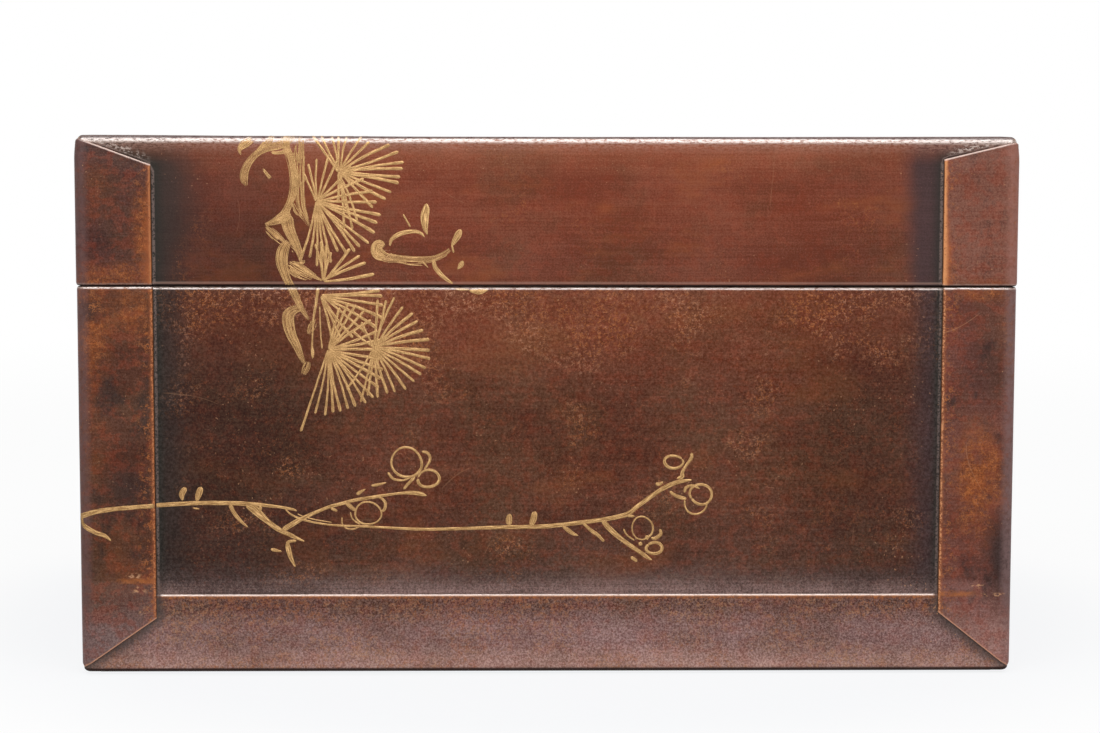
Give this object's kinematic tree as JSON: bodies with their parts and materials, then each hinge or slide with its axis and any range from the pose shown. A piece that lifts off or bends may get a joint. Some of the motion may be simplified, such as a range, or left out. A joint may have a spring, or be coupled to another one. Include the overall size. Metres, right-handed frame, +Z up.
{
  "type": "lidded leather box",
  "caption": "Rectangular lacquered leather box with a lift-off lid, mitred corner straps, a foot band and a gilt pine and plum branch.",
  "frame": {"origin": "on the ground, under the middle of the box", "axes": "+X along the long side, to the right as one faces the decorated front; +Y from the front to the back; +Z up"},
  "size_m": [0.36, 0.246, 0.2076],
  "materials": {
    "lid_leather": "red-brown lacquered leather, satin, darker beside the straps",
    "panel_leather": "red-brown lacquered leather, satin, finely scratched and flecked",
    "strap_leather": "red-brown lacquered leather, orange where its edges are worn",
    "foot_leather": "dull purple-brown lacquered leather, rubbed",
    "gilt": "brushed gold paint over lacquer",
    "carcass_wood": "bare softwood",
    "lacquered_wood": "dark brown lacquer on wood, satin",
    "lining": "plain tan lining paper, matt"
  },
  "bodies": {
    "base": {"base_floor_board": "carcass_wood", "base_wall_front": "carcass_wood", "base_wall_right": "carcass_wood", "base_wall_back": "carcass_wood", "base_wall_left": "carcass_wood", "rim_strip_front": "lacquered_wood", "rim_strip_right": "lacquered_wood", "rim_strip_back": "lacquered_wood", "rim_strip_left": "lacquered_wood", "base_underside": "foot_leather", "base_panel_front": "panel_leather", "base_panel_right": "panel_leather", "base_panel_back": "panel_leather", "base_panel_left": "panel_leather", "base_band_front": "foot_leather", "base_band_right": "foot_leather", "base_band_back": "foot_leather", "base_band_left": "foot_leather", "base_strap_front_left": "strap_leather", "base_strap_front_right": "strap_leather", "base_strap_back_right": "strap_leather", "base_strap_back_left": "strap_leather", "base_lining_floor": "lining", "base_lining_front": "lining", "base_lining_right": "lining", "base_lining_back": "lining", "base_lining_left": "lining"},
    "lid": {"lid_top_board": "carcass_wood", "lid_wall_front": "carcass_wood", "lid_wall_right": "carcass_wood", "lid_wall_back": "carcass_wood", "lid_wall_left": "carcass_wood", "lid_leather": "lid_leather", "lid_strap_front_left": "strap_leather", "lid_strap_front_right": "strap_leather", "lid_strap_back_right": "strap_leather", "lid_strap_back_left": "strap_leather", "lid_lining_top": "lining", "lid_lining_front": "lining", "lid_lining_right": "lining", "lid_lining_back": "lining", "lid_lining_left": "lining"}
  },
  "joints": [
    {"name": "lid_lift", "type": "slide", "parent": "base", "child": "lid", "axis": [0, 0, 1], "range_m": [0, 0.16]}
  ]
}
